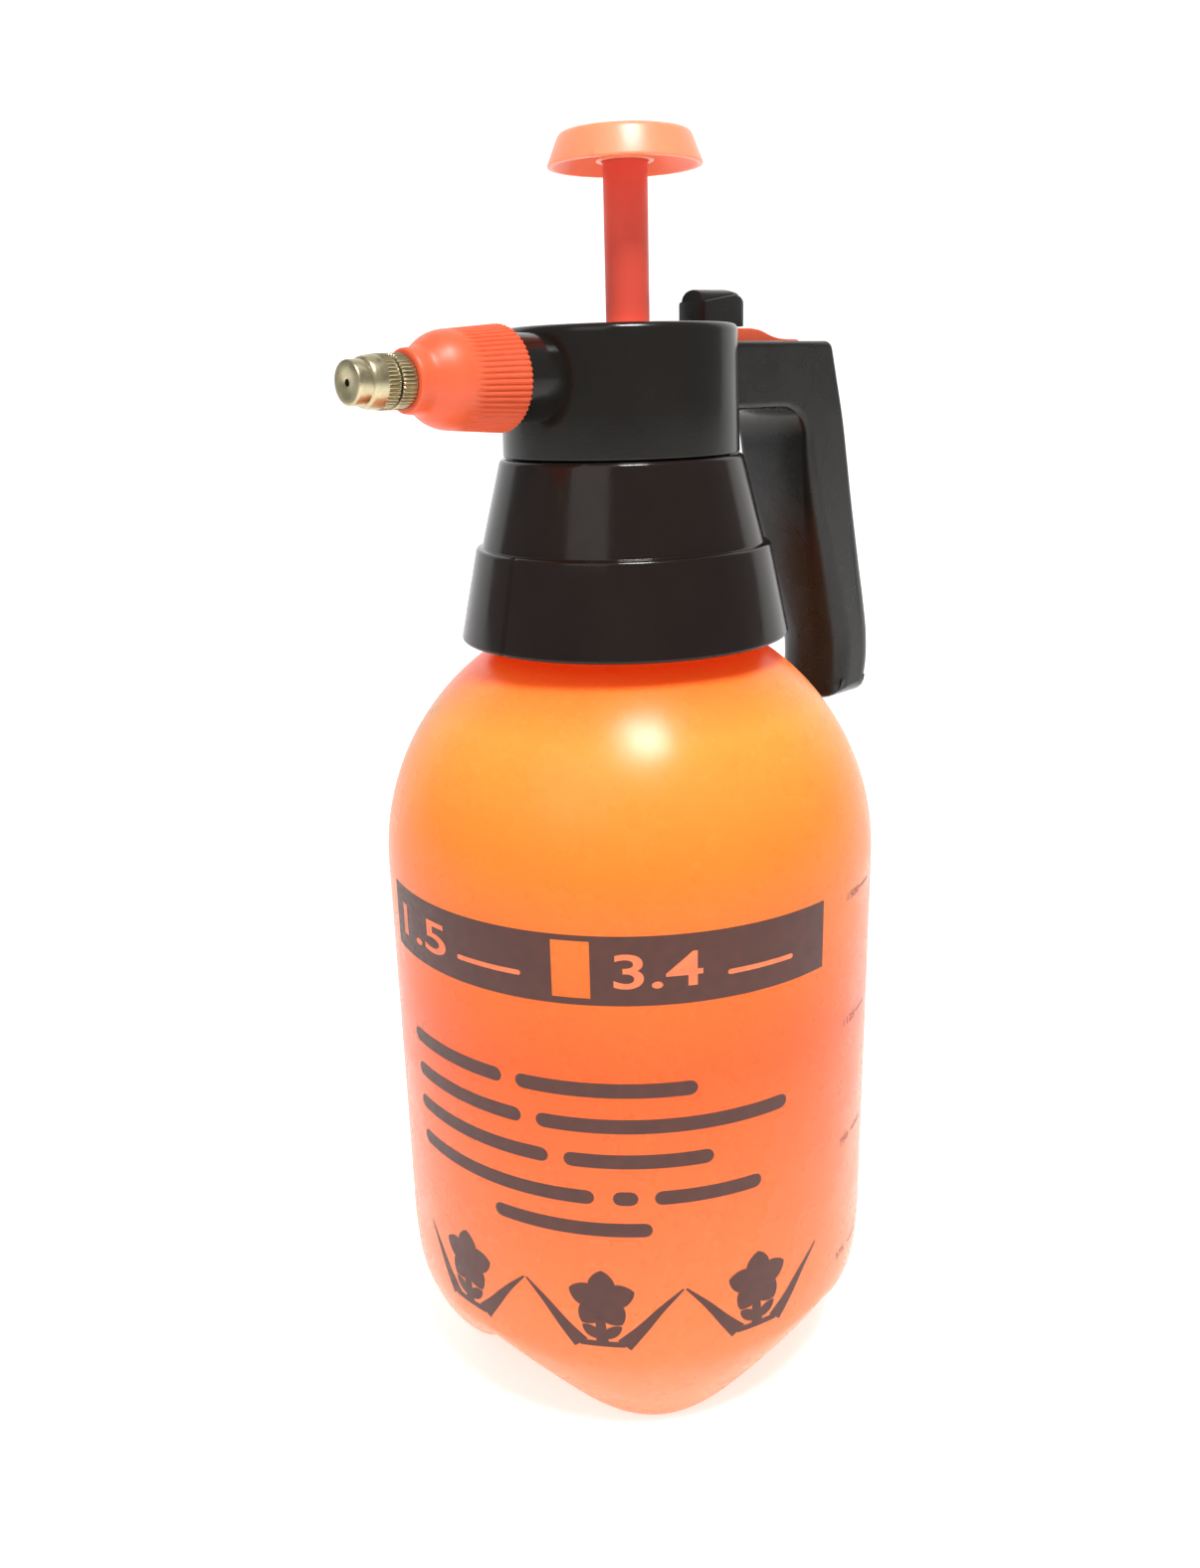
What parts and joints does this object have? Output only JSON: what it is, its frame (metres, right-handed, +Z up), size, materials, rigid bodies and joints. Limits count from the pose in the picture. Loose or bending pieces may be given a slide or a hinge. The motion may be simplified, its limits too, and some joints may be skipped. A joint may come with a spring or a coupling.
{
  "type": "hand-pumped pressure sprayer",
  "caption": "Hand-pumped pressure sprayer: orange bottle on moulded feet, black screw collar and head with pump knob, thumb lever with lock, rear handle and adjustable brass nozzle.",
  "frame": {"origin": "on the ground plane, under the middle of the part's box; the bottle's own axis is 9 mm forward of it", "axes": "+Z up along the bottle; the nozzle points to -Y and the handle is on the +Y side; +X is to the right of someone who looks along +Y"},
  "size_m": [0.122, 0.1678, 0.303],
  "materials": {
    "orange_shell": "satin",
    "orange_plastic": "satin",
    "peach_plastic": "soft gloss, slightly see-through",
    "black_gloss": "gloss",
    "black_satin": "satin",
    "natural_plastic": "satin",
    "tube_plastic": "soft gloss",
    "rubber_black": "matt",
    "brass": "turned, satin",
    "steel": "satin"
  },
  "bodies": {
    "bottle": {"bottle": "orange_shell"},
    "head": {"head_body": "black_gloss", "pump_cylinder": "natural_plastic", "cylinder_cap": "natural_plastic", "rod_bush": "natural_plastic", "check_valve": "rubber_black", "neck_gasket": "rubber_black", "pickup_tube": "tube_plastic", "strainer": "natural_plastic", "valve_body": "natural_plastic", "valve_cap": "natural_plastic", "pin_seal": "rubber_black", "outlet_tube": "tube_plastic", "spout_gasket": "rubber_black", "nozzle_base": "brass", "nozzle_o_ring": "rubber_black", "swirl_core": "natural_plastic", "lever_pin": "steel", "valve_spring": "steel"},
    "collar": {"collar_nut": "black_gloss"},
    "pump": {"pump_knob": "peach_plastic", "pump_rod": "orange_plastic", "piston": "natural_plastic", "piston_seal": "rubber_black"},
    "lever": {"thumb_lever": "orange_plastic"},
    "lock": {"lock_slider": "black_satin"},
    "valve": {"valve_pin": "steel", "valve_seal": "rubber_black"},
    "nozzle_nut": {"nozzle_nut": "orange_plastic"},
    "nozzle_tip": {"nozzle_tip": "brass"}
  },
  "joints": [
    {"name": "head_lift", "type": "slide", "parent": "bottle", "child": "head", "axis": [0, 0, 1], "range_m": [0, 0.215]},
    {"name": "collar_turn", "type": "hinge", "parent": "head", "child": "collar", "pos_m": [0, -0.009, 0.213], "axis": [0, 0, 1], "continuous": true},
    {"name": "pump_stroke", "type": "slide", "parent": "head", "child": "pump", "axis": [0, 0, 1], "range_m": [-0.033, 0.02]},
    {"name": "lever_press", "type": "hinge", "parent": "head", "child": "lever", "pos_m": [0, 0.048, 0.2566], "axis": [1, 0, 0], "range_deg": [0, 3], "stiffness_Nm_per_rad": 0.4, "springref_deg": -2.86},
    {"name": "lock_slide", "type": "slide", "parent": "lever", "child": "lock", "axis": [0, 1, 0], "range_m": [0, 0.004]},
    {"name": "valve_stroke", "type": "slide", "parent": "head", "child": "valve", "axis": [0, 0, -1], "range_m": [0, 0.0021], "deforming": ["valve_spring"]},
    {"name": "nozzle_nut_turn", "type": "hinge", "parent": "head", "child": "nozzle_nut", "pos_m": [0, -0.054, 0.2518], "axis": [0, -1, 0], "continuous": true},
    {"name": "nozzle_turn", "type": "hinge", "parent": "head", "child": "nozzle_tip", "pos_m": [0, -0.079, 0.2518], "axis": [0, -1, 0], "range_deg": [-90, 360]}
  ],
  "couplings": [
    {"joint": "valve_stroke", "follows": "lever_press", "m_per_rad": 0.0377}
  ]
}
